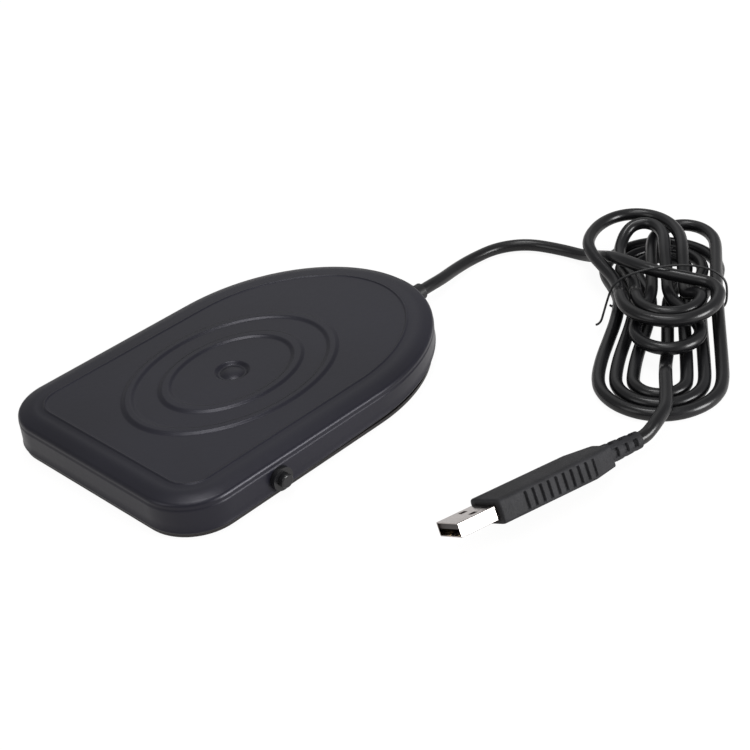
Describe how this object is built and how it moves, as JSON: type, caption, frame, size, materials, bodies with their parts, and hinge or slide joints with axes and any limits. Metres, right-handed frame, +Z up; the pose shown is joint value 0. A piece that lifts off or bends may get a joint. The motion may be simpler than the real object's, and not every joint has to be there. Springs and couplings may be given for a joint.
{
  "type": "usb foot pedal switch",
  "caption": "Low black steel foot pedal with a rounded end, oval pressed rings, a side pivot, a hidden snap switch and a tied cord with a USB plug.",
  "frame": {"origin": "on the floor, under the middle of the treadle", "axes": "+Y towards the rounded cord end, +Z up, +X to the side where the cord's hank and plug lie"},
  "size_m": [0.1862, 0.2513, 0.0196],
  "materials": {
    "black_enamel": "satin black enamel on pressed steel",
    "pan_enamel": "satin black enamel on pressed steel",
    "foot_rubber": "matt black rubber",
    "black_axle": "blackened steel",
    "black_bush": "black moulded bush",
    "black_rivet": "black painted rivet",
    "spring_steel": "bare spring steel",
    "zinc_steel": "zinc plated steel",
    "aluminium_rivet": "plain aluminium",
    "switch_moulding": "matt moulded plastic",
    "plunger_moulding": "red moulded plastic",
    "terminal_brass": "tinned brass",
    "bushing_rubber": "black rubber",
    "cord_jacket": "smooth black vinyl",
    "wire_jacket": "smooth coloured vinyl",
    "tie_jacket": "black plastic over wire",
    "plug_moulding": "fine matt vinyl moulding",
    "shell_steel": "bright nickel plated steel",
    "insulator_moulding": "dark moulded insulator",
    "contact_gold": "gold plated contacts",
    "board_laminate": "green laminate",
    "chip_moulding": "black moulded chip"
  },
  "bodies": {
    "base": {"base_pan": "pan_enamel", "rubber_feet": "foot_rubber", "pivot_axle": "black_axle", "axle_clips": "spring_steel", "switch_case": "switch_moulding", "switch_cover": "switch_moulding", "lever_pin": "spring_steel", "switch_terminals": "terminal_brass", "switch_bracket": "zinc_steel", "bracket_rivets": "aluminium_rivet", "switch_screws": "zinc_steel", "rest_bumpers": "foot_rubber", "travel_stops": "foot_rubber", "cord_bushing": "bushing_rubber", "inner_cord": "cord_jacket", "cord_clamp": "zinc_steel", "clamp_screw": "zinc_steel", "lead_wires": "wire_jacket", "cord_lead": "cord_jacket", "cord_hank": "cord_jacket", "cord_tail": "cord_jacket", "hank_tie": "tie_jacket", "plug_overmould": "plug_moulding", "plug_shell": "shell_steel", "plug_insulator": "insulator_moulding", "plug_contacts": "contact_gold", "plug_board": "board_laminate", "plug_chip": "chip_moulding"},
    "treadle": {"treadle_cover": "black_enamel", "pivot_bushes": "black_bush", "centre_rivet": "black_rivet", "rivet_washer": "zinc_steel", "leaf_spring": "spring_steel", "actuator_pad": "foot_rubber"},
    "switch_lever": {"switch_lever": "spring_steel"},
    "switch_plunger": {"switch_plunger": "plunger_moulding"}
  },
  "joints": [
    {"name": "treadle_hinge", "type": "hinge", "parent": "base", "child": "treadle", "pos_m": [0, -0.0344, 0.0068], "axis": [1, 0, 0], "range_deg": [-1.3, 0], "stiffness_Nm_per_rad": 2.5, "springref_deg": 3.44, "deforming": ["leaf_spring"]},
    {"name": "lever_hinge", "type": "hinge", "parent": "base", "child": "switch_lever", "pos_m": [0, 0.0003, 0.01005], "axis": [1, 0, 0], "range_deg": [-5.2, 0]},
    {"name": "plunger_slide", "type": "slide", "parent": "base", "child": "switch_plunger", "axis": [0, 0, 1], "range_m": [-0.0003, 0]}
  ],
  "couplings": [
    {"joint": "lever_hinge", "follows": "treadle_hinge", "ratio": 3.9},
    {"joint": "plunger_slide", "follows": "treadle_hinge", "m_per_rad": 0.0117}
  ]
}
